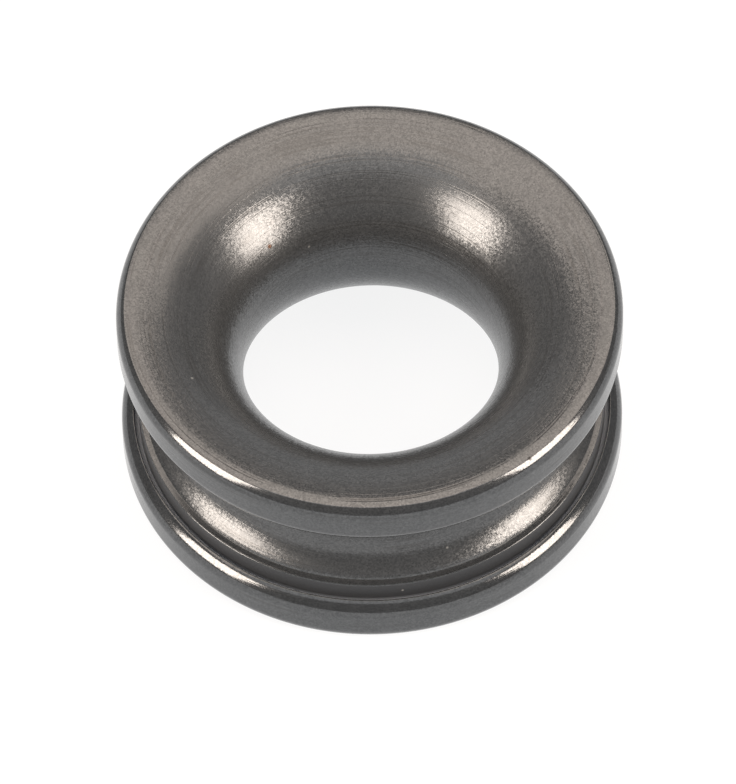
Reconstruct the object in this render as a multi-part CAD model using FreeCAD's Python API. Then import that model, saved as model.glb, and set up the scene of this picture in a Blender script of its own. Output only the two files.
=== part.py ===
import FreeCAD, Part
import math
import os

# Rope fairlead eye: a turned low-friction ring, one solid of revolution.
# Millimetres, +Z along the eye's axis, origin at the ring's centre.
# The section is symmetric about the mid-plane z = 0. The bell mouth and
# the rope groove cross the mid-plane, and the flange outline that joins
# them is drawn once for each side.

# Driving dimensions
outer_r = 20.0            # flange walls, the largest radius
throat_r = 10.15          # narrowest radius of the eye, on the mid-plane
rim_z = 8.82              # height of the crease where bell mouth and rim meet
crease_inset = 0.63       # from the outer wall in to that crease
edge_round_r = 1.38       # round at both edges of a flange's outer wall
wall_h = 1.71             # straight height of that wall, between its rounds
lip_inset = 0.98          # from the outer wall in to the lip, where its round ends
slot_w = 0.44             # width of the slot between the lip and the shoulder
slot_depth = 0.67         # depth of that slot below the lip
slot_fillet_r = 0.08      # fillets in the bottom of the slot
shoulder_h = 1.34         # how far the shoulder stands past the lip
crest_round_r = 0.08      # round between the shoulder's wall and its sloping land
land_w = 0.50             # from the shoulder's wall in to the groove's edge
land_rise = 0.112         # how much higher the land is at the groove's edge
groove_depth = 1.85       # depth of the rope groove below that edge

crease_r = outer_r - crease_inset

round_c = outer_r - edge_round_r
wall_top_z = rim_z - math.sqrt(edge_round_r ** 2 - (crease_r - round_c) ** 2)
wall_foot_z = wall_top_z - wall_h

lip_r = outer_r - lip_inset
lip_z = wall_foot_z - math.sqrt(edge_round_r ** 2 - (lip_r - round_c) ** 2)

shoulder_r = lip_r - slot_w
slot_z = lip_z + slot_depth
crest_z = lip_z - shoulder_h

# Points of the section are complex numbers: radius + height * 1j


def unit(vector):
    return vector / abs(vector)


def on_round(centre, start, end):
    """Middle of the arc from start to end about a centre, the short way."""
    return centre + abs(start - centre) * unit(unit(start - centre) + unit(end - centre))


def slot_fillet(corner_r, towards_middle):
    """Centre and ends of the fillet in one bottom corner of the slot.

    towards_middle is 1 or -1, the way from that corner along the floor.
    """
    centre = complex(corner_r + towards_middle * slot_fillet_r, slot_z - slot_fillet_r)
    on_wall = centre - towards_middle * slot_fillet_r
    on_floor = centre + slot_fillet_r * 1j
    return centre, on_wall, on_floor


def groove_edge():
    return complex(shoulder_r - land_w, crest_z - land_rise)


def crest_round():
    """Centre and ends of the round from the shoulder's wall to its land."""
    corner = complex(shoulder_r, crest_z)
    along_land = unit(groove_edge() - corner)
    trim = crest_round_r * (1 + along_land.imag) / -along_land.real
    on_wall = corner + trim * 1j
    return on_wall - crest_round_r, on_wall, corner + trim * along_land


def place(point, side):
    """A point of the section in space, mirrored below for side -1."""
    return FreeCAD.Vector(point.real, 0, side * point.imag)


def line(start, end, side):
    return Part.LineSegment(place(start, side), place(end, side)).toShape()


def arc(start, via, end, side=1):
    return Part.Arc(place(start, side), place(via, side), place(end, side)).toShape()


def rounded(centre, start, end, side):
    return arc(start, on_round(centre, start, end), end, side)


def flange_edges(side):
    """Outline of one flange, from the rim's crease to the rope groove."""
    crease = complex(crease_r, rim_z)
    wall_top = complex(outer_r, wall_top_z)
    wall_foot = complex(outer_r, wall_foot_z)
    lip = complex(lip_r, lip_z)
    outer_c, outer_wall, outer_floor = slot_fillet(lip_r, -1)
    inner_c, inner_wall, inner_floor = slot_fillet(shoulder_r, 1)
    crest_c, crest_wall, crest_land = crest_round()
    return [
        rounded(complex(round_c, wall_top_z), crease, wall_top, side),
        line(wall_top, wall_foot, side),
        rounded(complex(round_c, wall_foot_z), wall_foot, lip, side),
        line(lip, outer_wall, side),
        rounded(outer_c, outer_wall, outer_floor, side),
        line(outer_floor, inner_floor, side),
        rounded(inner_c, inner_floor, inner_wall, side),
        line(inner_wall, crest_wall, side),
        rounded(crest_c, crest_wall, crest_land, side),
        line(crest_land, groove_edge(), side),
    ]


def section():
    """Closed face of the ring's section."""
    crease = complex(crease_r, rim_z)
    bell = arc(crease, complex(throat_r, 0), crease.conjugate())
    edge = groove_edge()
    groove = arc(edge, complex(edge.real - groove_depth, 0), edge.conjugate())
    edges = [bell, groove] + flange_edges(1) + flange_edges(-1)
    return Part.Face(Part.Wire(Part.__sortEdges__(edges)))


def ring():
    axis_foot = FreeCAD.Vector(0, 0, 0)
    axis = FreeCAD.Vector(0, 0, 1)
    return section().revolve(axis_foot, axis, 360)


os.makedirs("parts", exist_ok=True)
ring().exportStep("parts/fairlead_ring.step")
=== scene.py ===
import math

import bpy
from mathutils import Matrix, Vector, noise


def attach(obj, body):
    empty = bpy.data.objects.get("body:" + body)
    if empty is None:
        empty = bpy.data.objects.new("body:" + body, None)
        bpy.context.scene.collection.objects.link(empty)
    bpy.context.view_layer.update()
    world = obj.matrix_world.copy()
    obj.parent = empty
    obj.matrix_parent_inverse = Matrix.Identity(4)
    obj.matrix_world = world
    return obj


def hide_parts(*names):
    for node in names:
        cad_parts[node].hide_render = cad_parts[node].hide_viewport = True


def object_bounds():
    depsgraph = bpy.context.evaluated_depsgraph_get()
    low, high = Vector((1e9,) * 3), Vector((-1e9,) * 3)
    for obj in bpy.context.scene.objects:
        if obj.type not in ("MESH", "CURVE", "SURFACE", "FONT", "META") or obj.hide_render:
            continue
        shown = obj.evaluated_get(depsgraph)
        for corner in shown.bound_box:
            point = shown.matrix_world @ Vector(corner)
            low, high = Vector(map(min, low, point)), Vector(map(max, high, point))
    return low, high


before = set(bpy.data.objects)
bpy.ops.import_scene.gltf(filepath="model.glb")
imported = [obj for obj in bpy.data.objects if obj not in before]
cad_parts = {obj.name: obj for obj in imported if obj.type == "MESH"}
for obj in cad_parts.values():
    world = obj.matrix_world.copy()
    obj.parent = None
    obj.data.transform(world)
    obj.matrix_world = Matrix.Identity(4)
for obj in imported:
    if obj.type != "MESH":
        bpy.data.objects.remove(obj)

CAD_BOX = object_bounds()

MM = 0.001

# Section of the ring, in metres: the sizes that the solid has
OUTER_R = CAD_BOX[1][0]
THROAT_R = 10.15 * MM         # narrowest radius of the eye
RIM_Z = 8.82 * MM             # crease between the bell mouth and the rim
CREASE_INSET = 0.63 * MM      # from the outer wall in to that crease
EDGE_ROUND_R = 1.38 * MM      # round at both edges of the outer wall
WALL_H = 1.71 * MM            # straight height of that wall
LIP_INSET = 0.98 * MM         # from the outer wall in to the lip
SLOT_W = 0.44 * MM            # slot between the lip and the shoulder
SLOT_DEPTH = 0.67 * MM
SLOT_FILLET_R = 0.08 * MM
SHOULDER_H = 1.34 * MM        # how far the shoulder stands past the lip
CREST_ROUND_R = 0.08 * MM     # round between the shoulder's wall and its land
LAND_W = 0.50 * MM            # sloping land, from that wall in to the groove
LAND_RISE = 0.112 * MM
GROOVE_DEPTH = 1.85 * MM

# Places in the section that follow from those sizes, with points as radius + height * 1j
ROUND_R = OUTER_R - EDGE_ROUND_R    # centres of the wall's two rounds
LIP_R = OUTER_R - LIP_INSET
SHOULDER_R = LIP_R - SLOT_W
WALL_TOP_Z = RIM_Z - math.sqrt(EDGE_ROUND_R ** 2 - (EDGE_ROUND_R - CREASE_INSET) ** 2)
WALL_FOOT_Z = WALL_TOP_Z - WALL_H
LIP_Z = WALL_FOOT_Z - math.sqrt(EDGE_ROUND_R ** 2 - (EDGE_ROUND_R - LIP_INSET) ** 2)
SLOT_Z = LIP_Z + SLOT_DEPTH
CREST_Z = LIP_Z - SHOULDER_H
CREASE = complex(OUTER_R - CREASE_INSET, RIM_Z)
LIP = complex(LIP_R, LIP_Z)
CREST = complex(SHOULDER_R, CREST_Z)
GROOVE_EDGE = CREST - complex(LAND_W, LAND_RISE)

# Mesh of the turned ring
TURNS = 360                      # divisions round the axis
ARC_STEP = math.radians(3)       # along the bell mouth and the groove
ROUND_STEP = math.radians(6)     # along the rounds of the rim and the lip
FILLET_STEP = math.radians(15)   # along the slot's fillets and the crest
EDGE_BREAK_R = 0.05 * MM         # tiny round of the section's sharp corners
CREASE_WAVE = 0.03 * MM          # how unevenly the crease was broken
CREASE_REACH = 0.15 * MM         # how far from the crease that is felt
CREASE_WAVINESS = 22             # how fast the unevenness changes round the ring
CREASES_APART = 3.7              # keeps the two creases from looking the same

# Finish of the metal, in millimetres
ALLOY_DARK = (0.114, 0.120, 0.126)
ALLOY_LIGHT = (0.131, 0.137, 0.143)
FACET_DARK = (0.058, 0.062, 0.066)
SCORE_DARK = (0.06, 0.06, 0.06)
# painted shade: darkens the shoulder's wall and the slot where the matte mask lies, faintly on the
# land too
RECESS_PAINTED_SHADE = (0.040, 0.044, 0.050)
# painted light: lightens the slot's bottom, as if the overhead light reached into it
SLOT_PAINTED_LIGHT = (0.25, 0.27, 0.30)
FACET_SHADE = 0.75               # how far the darkest facets go to FACET_DARK
SCORE_SHADE = 0.4
RECESS_SHADE_SHARE = 0.85
BLASTED_R = 17.6                 # the bell and the groove are blasted up to this radius
SMOOTH_R = 18.5                  # the flanges' rims and walls are smoother from here on
SMOOTH_REST = 0.25               # what is left of the blasted finish there
LAND_MATTE = 0.1                 # how matte the sloping land is, beside the shoulder's wall
SMOOTH_ROUGHNESS = 0.13
BLASTED_ROUGHNESS = 0.25
ROUGHNESS_SPREAD = (-0.02, 0.04)
MATTE_ROUGHNESS = 0.35           # added by the matte finish
SMOOTH_METALLIC = 0.78
BLASTED_METALLIC = 0.67
MATTE_METALLIC = 0.25            # share that the matte finish leaves
FACETS_PER_MM = 9.3
FACET_TILT = 0.085
FINE_HEIGHT = 0.003
STREAK_HEIGHT = 0.0022
SCORE_DEPTH = 0.004

# Noises of the finish: scale per millimetre, detail, roughness
FINE_LINES = (6.0, 3.0, 0.6)
BROAD_LINES = (1.3, 2.0, 0.5)
STREAKS = (7.0, 2.0, 0.6)
SCORES = (1.9, 1.0, 0.5)
SCORE_PATCHES = (0.12, 2.0, 0.5)
CLOUD = (0.35, 3.0, 0.55)
LINES_LOOP = 0.5                 # loop that a turn makes in the noise: small for long lines
SCORES_LOOP = 0.12
FINE_RANGE = (0.3, 0.7)          # most of the fine noise lies between these
SCORE_FADE = (0.006, 0.03)       # how far from its middle the noise is where a score ends
PATCH_FADE = (0.44, 0.56)        # noise where a scored patch begins
TONE_FADE = (0.35, 0.65)         # noise at the darkest and the lightest alloy

# Small marks of the photograph: azimuth, distance from the axis, height, radius, colour
DUST = (0.34, 0.34, 0.33)
RUST = (0.09, 0.045, 0.025)
DARK_NICK = (0.02, 0.02, 0.02)
SPECKS = (
    (2.0, 19.05, 8.60, 0.26, DARK_NICK),
    (38.9, 19.42, 8.78, 0.22, DARK_NICK),
    (-137.9, 11.65, 4.93, 0.22, RUST),
    (-66.3, 15.33, 8.04, 0.14, DUST),
    (-154.2, 10.78, 3.29, 0.12, DUST),
    (19.6, 16.90, -2.11, 0.14, DUST),
    (6.4, 18.58, -4.20, 0.12, DUST),
)
SPECK_CORE = 0.4                 # share of a mark's radius that has its full colour

# Floor
FLOOR_Z = -(RIM_Z + 0.02 * MM)   # just under the ring's lower crease
FLOOR_HALF = 3.0                 # half its width
FLOOR_COLOUR = (0.120, 0.125, 0.132)
FLOOR_GLOW = 0.87                # with the lamps' light, this shows as white

# Light
LAMP_DISTANCE = 0.5
SOFTBOX_RADIANCE = 11.0
CEILING_RADIANCE = 2.0
FRONT_RADIANCE = 0.35 * CEILING_RADIANCE
BACKDROP_RADIANCE = 0.3
WARM = (1.0, 0.86, 0.74)
CEILING = (1.0, 0.84, 0.71)
FRONT = (0.95, 0.93, 0.91)
WHITE = (1, 1, 1)
ROOM = (0.222, 0.232, 0.242)

# Camera, from the outlines in the photograph, in its pixels
PHOTO_W = 736
PHOTO_H = 784
FOCAL_PX = 9985.0
RING_CENTRE_PX = (370.9, 368.5)
ELEVATION = math.radians(54.87)
ROLL = math.radians(-1.397)
DISTANCE = 39.68 * OUTER_R
SENSOR_MM = 36.0


def from_axis(azimuth, radius, height):
    """Place at an azimuth, in degrees from the camera's side towards +X."""
    turn = math.radians(azimuth)
    return Vector((radius * math.sin(turn), -radius * math.cos(turn), height))


def unit(vector):
    return vector / abs(vector)


def arc_radius(chord_half, depth):
    """Radius of an arc that is depth deep on a chord of twice chord_half."""
    return (chord_half ** 2 + depth ** 2) / (2 * depth)


def sweep(centre, start, end, step):
    """Points of an arc between two points, the short way round."""
    first = start - centre
    last = end - centre
    turn = math.atan2(last.imag, last.real) - math.atan2(first.imag, first.real)
    turn = (turn + math.pi) % (2 * math.pi) - math.pi
    count = max(3, math.ceil(abs(turn) / step))
    angles = [turn * i / count for i in range(count + 1)]
    return [centre + first * complex(math.cos(a), math.sin(a)) for a in angles]


def straight(before, after, steps):
    """Two stretches of outline, and a straight line in so many steps between them."""
    start = before[-1]
    end = after[0]
    return before + [start + (end - start) * i / steps for i in range(1, steps)] + after


def broken_corner(before, after):
    """Two stretches of outline that share a sharp corner, with that corner broken."""
    tip = before[-1]
    a = tip + EDGE_BREAK_R * unit(before[-2] - tip)
    b = tip + EDGE_BREAK_R * unit(after[1] - tip)
    return before[:-1] + [a, (a + 2 * tip + b) / 4, b] + after[1:]


def bell():
    """Bell mouth, from the throat to the crease."""
    radius = arc_radius(RIM_Z, CREASE.real - THROAT_R)
    return sweep(complex(THROAT_R + radius, 0), complex(THROAT_R, 0), CREASE, ARC_STEP)


def rim():
    """Round from the crease to the outer wall."""
    centre = complex(ROUND_R, WALL_TOP_Z)
    return sweep(centre, CREASE, centre + EDGE_ROUND_R, ROUND_STEP)


def lip():
    """Round from the outer wall to the lip."""
    centre = complex(ROUND_R, WALL_FOOT_Z)
    return sweep(centre, centre + EDGE_ROUND_R, LIP, ROUND_STEP)


def slot():
    """Bottom of the slot, with its two fillets."""
    outer = complex(LIP_R - SLOT_FILLET_R, SLOT_Z - SLOT_FILLET_R)
    inner = complex(SHOULDER_R + SLOT_FILLET_R, SLOT_Z - SLOT_FILLET_R)
    up = SLOT_FILLET_R * 1j
    outer_fillet = sweep(outer, outer + SLOT_FILLET_R, outer + up, FILLET_STEP)
    inner_fillet = sweep(inner, inner + up, inner - SLOT_FILLET_R, FILLET_STEP)
    return straight(outer_fillet, inner_fillet, steps=2)


def crest():
    """Round from the shoulder's wall to its sloping land."""
    slope = unit(GROOVE_EDGE - CREST)
    trim = CREST_ROUND_R * (1 + slope.imag) / -slope.real
    on_wall = CREST + trim * 1j
    return sweep(on_wall - CREST_ROUND_R, on_wall, CREST + trim * slope, FILLET_STEP)


def groove():
    """Rope groove, from the land's edge to its bottom on the mid-plane."""
    radius = arc_radius(GROOVE_EDGE.imag, GROOVE_DEPTH)
    bottom = complex(GROOVE_EDGE.real - GROOVE_DEPTH, 0)
    return sweep(bottom + radius, GROOVE_EDGE, bottom, ARC_STEP)


def half_section():
    """Outline from the throat over the rim to the groove's bottom."""
    flange = straight(rim(), lip(), steps=3)
    shoulder = straight(slot(), crest(), steps=4)
    land = straight(shoulder, [GROOVE_EDGE], steps=3)
    outline = bell()
    for stretch in (flange, [LIP] + land, groove()):
        outline = broken_corner(outline, stretch)
    return outline


def outline_normals(outline):
    """Outward normals of a closed outline, each square to the line between its neighbours."""
    normals = []
    for i in range(len(outline)):
        along = outline[(i + 1) % len(outline)] - outline[i - 1]
        normals.append(unit(along) * 1j)
    return normals


def crease_loss(point, round_x, round_y):
    """How much nearer to the mid-plane a point is, where its crease was broken."""
    side = 1 if point.imag > 0 else -1
    away = abs(complex(point.real, abs(point.imag)) - CREASE)
    near = math.exp(-(away / CREASE_REACH) ** 2)
    where = Vector((round_x * CREASE_WAVINESS, round_y * CREASE_WAVINESS, CREASES_APART * side))
    return side * CREASE_WAVE * near * (0.5 + 0.5 * noise.noise(where))


def lathe_faces(count):
    """Four-sided faces between neighbouring turns of an outline of count points."""
    faces = []
    for i in range(TURNS):
        here = i * count
        ahead = (i + 1) % TURNS * count
        for j in range(count):
            above = (j + 1) % count
            faces.append((here + j, here + above, ahead + above, ahead + j))
    return faces


def ring_mesh():
    """The ring as one closed lathe of its section."""
    upper = half_section()
    outline = upper + [p.conjugate() for p in reversed(upper[1:-1])]
    normals = outline_normals(outline)
    verts = []
    directions = []
    for i in range(TURNS):
        angle = 2 * math.pi * i / TURNS
        round_x = math.cos(angle)
        round_y = math.sin(angle)
        for p, normal in zip(outline, normals):
            z = p.imag - crease_loss(p, round_x, round_y)
            verts.append((p.real * round_x, p.real * round_y, z))
            directions.append((normal.real * round_x, normal.real * round_y, normal.imag))
    mesh = bpy.data.meshes.new("ring_turned")
    mesh.from_pydata(verts, [], lathe_faces(len(outline)))
    mesh.update()
    mesh.polygons.foreach_set("use_smooth", [True] * len(mesh.polygons))
    mesh.normals_split_custom_set_from_vertices(directions)
    return mesh


class Nodes:
    """Short calls for building a node tree."""

    def __init__(self, tree):
        self.tree = tree
        tree.nodes.clear()

    def add(self, kind, **settings):
        node = self.tree.nodes.new(kind)
        for name, value in settings.items():
            setattr(node, name, value)
        return node

    def put(self, value, socket):
        """Link a socket, or set it to a number or a tuple. None leaves it alone."""
        if isinstance(value, bpy.types.NodeSocket):
            self.tree.links.new(value, socket)
        elif value is not None:
            socket.default_value = (*value, 1) if socket.type == "RGBA" else value

    def math(self, operation, first, second=None):
        node = self.add("ShaderNodeMath", operation=operation)
        self.put(first, node.inputs[0])
        self.put(second, node.inputs[1])
        return node.outputs[0]

    def vector(self, operation, first, second=None):
        node = self.add("ShaderNodeVectorMath", operation=operation)
        self.put(first, node.inputs[0])
        self.put(second, node.inputs[1])
        return node.outputs["Value" if operation == "DISTANCE" else "Vector"]

    def scaled(self, vector, factor):
        node = self.add("ShaderNodeVectorMath", operation="SCALE")
        self.put(vector, node.inputs[0])
        self.put(factor, node.inputs["Scale"])
        return node.outputs["Vector"]

    def combine(self, x, y, z):
        node = self.add("ShaderNodeCombineXYZ")
        for value, socket in zip((x, y, z), node.inputs):
            self.put(value, socket)
        return node.outputs[0]

    def separate(self, vector):
        node = self.add("ShaderNodeSeparateXYZ")
        self.put(vector, node.inputs[0])
        return node.outputs

    def ramp(self, value, low, high, out_low=0.0, out_high=1.0):
        node = self.add("ShaderNodeMapRange")
        self.put(value, node.inputs["Value"])
        self.put(low, node.inputs["From Min"])
        self.put(high, node.inputs["From Max"])
        self.put(out_low, node.inputs["To Min"])
        self.put(out_high, node.inputs["To Max"])
        return node.outputs[0]

    def noise(self, place, traits, turn=None):
        """Noise of a place, or of a place and a turn as its fourth coordinate."""
        node = self.add("ShaderNodeTexNoise")
        self.put(place, node.inputs["Vector"])
        if turn is not None:
            node.noise_dimensions = "4D"
            self.put(turn, node.inputs["W"])
        for value, name in zip(traits, ("Scale", "Detail", "Roughness")):
            self.put(value, node.inputs[name])
        return node.outputs["Fac"]

    def mix(self, factor, first, second):
        node = self.add("ShaderNodeMix", data_type="RGBA")
        self.put(factor, node.inputs["Factor"])
        for name, value in (("A", first), ("B", second)):
            colour = [s for s in node.inputs if s.name == name and s.type == "RGBA"][0]
            self.put(value, colour)
        return [s for s in node.outputs if s.type == "RGBA"][0]

    def finish(self, kind, result):
        """Output node of a material or a world."""
        self.put(result, self.add(kind).inputs["Surface"])


def lathe_place(n, place, radius, loop):
    """Place and turn that hardly change round the axis, for the noise of turned lines."""
    x, y, z = n.separate(place)
    side = n.math("MULTIPLY", n.math("DIVIDE", x, radius), loop)
    turn = n.math("MULTIPLY", n.math("DIVIDE", y, radius), loop)
    return n.combine(radius, z, side), turn


def slot_finish(n, radius, level):
    """Masks of the matte finish of the shoulder and the slot, which also carries painted shade, and
    of the painted light on the slot's bottom.

    Each edge of a mask fades over a short way, in millimetres.
    """
    edge_r = GROOVE_EDGE.real / MM
    lip_r = LIP_R / MM
    slot_z = SLOT_Z / MM
    crest_z = CREST_Z / MM
    past_groove = n.ramp(radius, edge_r - 0.04, edge_r + 0.02)
    inside_lip = n.ramp(radius, lip_r, lip_r - 0.04)
    below_bell = n.ramp(level, slot_z + 0.7, slot_z + 0.2)
    zone = n.math("MULTIPLY", n.math("MULTIPLY", past_groove, inside_lip), below_bell)
    # the matte mask also sets where painted shade darkens the shoulder's wall and the slot
    matte = n.math("MULTIPLY", zone, n.ramp(level, crest_z + 0.05, crest_z + 0.17, LAND_MATTE, 1.0))
    # painted light on the slot's bottom, paler the deeper it lies
    slot_light = n.math("MULTIPLY", zone, n.ramp(level, slot_z - 0.35, slot_z - 0.10))
    return matte, slot_light


def scored_circles(n, place, scored_place, scored_turn):
    """Mask of thin scored circles, each broken off here and there."""
    scores = n.noise(scored_place, SCORES, scored_turn)
    patches = n.noise(place, SCORE_PATCHES)
    off_line = n.math("ABSOLUTE", n.math("SUBTRACT", scores, 0.5))
    return n.math("MULTIPLY", n.ramp(off_line, *SCORE_FADE, 1.0, 0.0), n.ramp(patches, *PATCH_FADE))


def speck(n, place, centre, radius):
    """Mask of a small round mark."""
    return n.ramp(n.vector("DISTANCE", place, centre), SPECK_CORE * radius, radius, 1.0, 0.0)


def facet_normal(n, facets, amount):
    """Normal of a blasted surface: each tiny facet is tilted its own way."""
    tilt = n.scaled(n.vector("SUBTRACT", facets, (0.5, 0.5, 0.5)), amount)
    smooth = n.add("ShaderNodeNewGeometry").outputs["Normal"]
    return n.vector("NORMALIZE", n.vector("ADD", smooth, tilt))


def metal_colour(n, place, broad, facets, line, matte, slot_light):
    """Colour of the metal, with its facets, scores and marks, painted shade on the shoulder's wall
    and in the slot, and painted light on the slot's bottom.
    """
    cloud = n.noise(place, CLOUD)
    tone = n.math("ADD", n.math("MULTIPLY", broad, 0.5), n.math("MULTIPLY", cloud, 0.5))
    grain = n.separate(facets)[0]
    colour = n.mix(n.ramp(tone, *TONE_FADE), ALLOY_DARK, ALLOY_LIGHT)
    colour = n.mix(n.ramp(grain, 0.0, 1.0, FACET_SHADE, 0.0), colour, FACET_DARK)
    colour = n.mix(n.math("MULTIPLY", line, SCORE_SHADE), colour, SCORE_DARK)
    # painted shade on the shoulder's wall and in the slot, along with their matte finish
    colour = n.mix(n.math("MULTIPLY", matte, RECESS_SHADE_SHARE), colour, RECESS_PAINTED_SHADE)
    # painted light on the slot's bottom
    colour = n.mix(slot_light, colour, SLOT_PAINTED_LIGHT)
    for azimuth, from_middle, height, radius, mark in SPECKS:
        centre = from_axis(azimuth, from_middle, height)
        colour = n.mix(speck(n, place, centre, radius), colour, mark)
    return colour


def metal_roughness(n, fine, blasted, matte):
    """Roughness of the smooth, the blasted and the matte finish, varied a little."""
    satin = n.ramp(blasted, SMOOTH_REST, 1.0, SMOOTH_ROUGHNESS, BLASTED_ROUGHNESS)
    satin = n.math("ADD", satin, n.math("MULTIPLY", matte, MATTE_ROUGHNESS))
    return n.math("ADD", satin, n.ramp(fine, *FINE_RANGE, *ROUGHNESS_SPREAD))


def metal_share(n, blasted, matte):
    """How metallic the surface looks through its anodised layer."""
    metallic = n.ramp(blasted, SMOOTH_REST, 1.0, SMOOTH_METALLIC, BLASTED_METALLIC)
    return n.math("MULTIPLY", metallic, n.ramp(matte, 0.0, 1.0, 1.0, MATTE_METALLIC))


def metal_normal(n, fine, streaks, line, facets, blasted):
    """Normal of the metal: tilted facets, then the height of its turned lines."""
    height = n.math("MULTIPLY", fine, FINE_HEIGHT)
    height = n.math("ADD", height, n.math("MULTIPLY", streaks, STREAK_HEIGHT))
    height = n.math("SUBTRACT", height, n.math("MULTIPLY", line, SCORE_DEPTH))
    bump = n.add("ShaderNodeBump")
    n.put(1.0, bump.inputs["Strength"])
    n.put(MM, bump.inputs["Distance"])
    n.put(height, bump.inputs["Height"])
    n.put(facet_normal(n, facets, n.math("MULTIPLY", blasted, FACET_TILT)), bump.inputs["Normal"])
    return bump.outputs[0]


def anodised_metal():
    """Hard-anodised turned aluminium: dark, satin, with fine turning lines.

    The bell and the groove are a little pitted, like blasted metal. The
    flanges' rims and walls are smoother, and the slot's surroundings matte, darkened there with
    painted shade of the recess, while the slot's bottom is lightened with painted light.
    flanges' rims and walls are smoother, and the slot's surroundings matte.
    """
    material = bpy.data.materials.new("anodised_turned")
    material.use_nodes = True
    n = Nodes(material.node_tree)
    place = n.scaled(n.add("ShaderNodeTexCoord").outputs["Object"], 1 / MM)
    x, y, z = n.separate(place)
    radius = n.math("SQRT", n.math("ADD", n.math("MULTIPLY", x, x), n.math("MULTIPLY", y, y)))
    level = n.math("ABSOLUTE", z)

    line_place, line_turn = lathe_place(n, place, radius, LINES_LOOP)
    score_place, score_turn = lathe_place(n, place, radius, SCORES_LOOP)
    fine = n.noise(line_place, FINE_LINES, line_turn)
    broad = n.noise(line_place, BROAD_LINES, line_turn)
    streaks = n.noise(score_place, STREAKS, score_turn)
    line = scored_circles(n, place, score_place, score_turn)
    cells = n.add("ShaderNodeTexVoronoi")
    n.put(place, cells.inputs["Vector"])
    n.put(FACETS_PER_MM, cells.inputs["Scale"])
    facets = cells.outputs["Color"]
    blasted = n.ramp(radius, SMOOTH_R, BLASTED_R, SMOOTH_REST, 1.0)
    matte, slot_light = slot_finish(n, radius, level)

    shader = n.add("ShaderNodeBsdfPrincipled")
    n.put(metal_colour(n, place, broad, facets, line, matte, slot_light), shader.inputs["Base Color"])
    n.put(metal_roughness(n, fine, blasted, matte), shader.inputs["Roughness"])
    n.put(metal_share(n, blasted, matte), shader.inputs["Metallic"])
    n.put(metal_normal(n, fine, streaks, line, facets, blasted), shader.inputs["Normal"])
    n.finish("ShaderNodeOutputMaterial", shader.outputs[0])
    return material


def ring_piece():
    piece = bpy.data.objects.new("ring_turned", ring_mesh())
    bpy.context.collection.objects.link(piece)
    piece.data.materials.append(anodised_metal())
    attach(piece, "root")
    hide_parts("fairlead_ring")


def pale_floor():
    """Floor material that shows white, also in the metal, and keeps the ring's shadow."""
    material = bpy.data.materials.new("floor_pale")
    material.use_nodes = True
    n = Nodes(material.node_tree)
    ray = n.add("ShaderNodeLightPath").outputs
    shown = n.math("MAXIMUM", ray["Is Camera Ray"], ray["Is Glossy Ray"])
    shown = n.math("MAXIMUM", shown, ray["Is Transmission Ray"])
    diffuse = n.add("ShaderNodeBsdfDiffuse")
    n.put(FLOOR_COLOUR, diffuse.inputs["Color"])
    glow = n.add("ShaderNodeEmission")
    n.put(WHITE, glow.inputs["Color"])
    n.put(n.math("MULTIPLY", shown, FLOOR_GLOW), glow.inputs["Strength"])
    both = n.add("ShaderNodeAddShader")
    n.put(diffuse.outputs[0], both.inputs[0])
    n.put(glow.outputs[0], both.inputs[1])
    n.finish("ShaderNodeOutputMaterial", both.outputs[0])
    return material


def floor():
    ends = (-FLOOR_HALF, FLOOR_HALF)
    corners = [(x, y, FLOOR_Z) for y in ends for x in ends]
    mesh = bpy.data.meshes.new("floor")
    mesh.from_pydata(corners, [], [(0, 1, 3, 2)])
    mesh.materials.append(pale_floor())
    piece = bpy.data.objects.new("floor", mesh)
    bpy.context.collection.objects.link(piece)


def area_lamp(name, place, size, radiance, colour):
    """Rectangular lamp that faces down, width and height in metres."""
    lamp = bpy.data.lights.new(name, "AREA")
    lamp.shape = "RECTANGLE"
    lamp.size, lamp.size_y = size
    lamp.energy = 4 * lamp.size * lamp.size_y * radiance
    lamp.color = colour
    piece = bpy.data.objects.new(name, lamp)
    piece.location = place
    piece.visible_camera = False
    bpy.context.collection.objects.link(piece)
    return piece


def softbox(name, azimuth, low, high, width, radiance, colour):
    """Upright lamp that faces the ring, from one elevation to another.

    The angles are in degrees, as the ring sees them.
    """
    middle = math.radians((low + high) / 2)
    aim = from_axis(azimuth, math.cos(middle), math.sin(middle))
    size = [2 * LAMP_DISTANCE * math.tan(math.radians(angle) / 2) for angle in (width, high - low)]
    piece = area_lamp(name, aim * LAMP_DISTANCE, size, radiance, colour)
    piece.rotation_euler = aim.to_track_quat("Z", "Y").to_euler()


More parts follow.
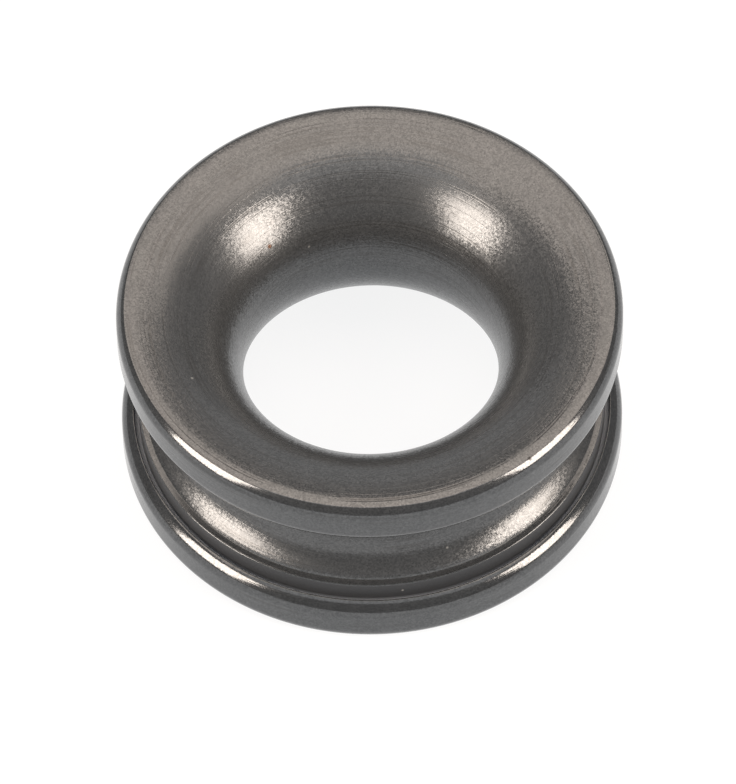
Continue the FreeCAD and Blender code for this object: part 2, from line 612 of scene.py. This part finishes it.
def room():
    """Plain grey room around the studio."""
    world = bpy.data.worlds.new("studio")
    bpy.context.scene.world = world
    world.use_nodes = True
    n = Nodes(world.node_tree)
    background = n.add("ShaderNodeBackground")
    n.put(ROOM, background.inputs["Color"])
    n.put(1.0, background.inputs["Strength"])
    n.finish("ShaderNodeOutputWorld", background.outputs[0])


def studio():
    """Two softboxes at the sides, two panels overhead and a faint glow behind."""
    softbox("softbox_right", azimuth=69.5, low=9, high=45, width=26,
            radiance=SOFTBOX_RADIANCE, colour=WARM)
    softbox("softbox_left", azimuth=-66, low=9, high=45, width=27,
            radiance=SOFTBOX_RADIANCE, colour=WARM)
    area_lamp("panel_top", place=(0, 0.155, LAMP_DISTANCE), size=(0.68, 0.47),
              radiance=CEILING_RADIANCE, colour=CEILING)
    area_lamp("panel_front", place=(0, -0.185, LAMP_DISTANCE), size=(0.68, 0.21),
              radiance=FRONT_RADIANCE, colour=FRONT)
    softbox("backdrop_glow", azimuth=180, low=2, high=34, width=50,
            radiance=BACKDROP_RADIANCE, colour=WHITE)
    room()


def camera():
    """Camera at the photograph's angle, with the ring where it is there."""
    right = Vector((1, 0, 0))
    up = Vector((0, math.sin(ELEVATION), math.cos(ELEVATION)))
    back = Vector((0, -math.cos(ELEVATION), math.sin(ELEVATION)))
    rolled_right = math.cos(ROLL) * right + math.sin(ROLL) * up
    rolled_up = math.cos(ROLL) * up - math.sin(ROLL) * right
    level = Matrix((rolled_right, rolled_up, back))
    ahead = Vector((0, 0, -1))
    across = (RING_CENTRE_PX[0] - PHOTO_W / 2) / FOCAL_PX
    down = (RING_CENTRE_PX[1] - PHOTO_H / 2) / FOCAL_PX
    aim = ahead.rotation_difference(Vector((across, -down, -1))).to_matrix()
    data = bpy.data.cameras.new("camera")
    data.sensor_width = SENSOR_MM
    data.lens = FOCAL_PX / max(PHOTO_W, PHOTO_H) * SENSOR_MM
    data.clip_start = 0.05
    data.clip_end = 20
    piece = bpy.data.objects.new("camera", data)
    piece.matrix_world = Matrix.Translation(back * DISTANCE) @ (aim @ level).transposed().to_4x4()
    bpy.context.collection.objects.link(piece)
    bpy.context.scene.camera = piece


camera()
ring_piece()
floor()
studio()
bpy.context.scene.view_settings.view_transform = "Standard"

bpy.context.view_layer.update()
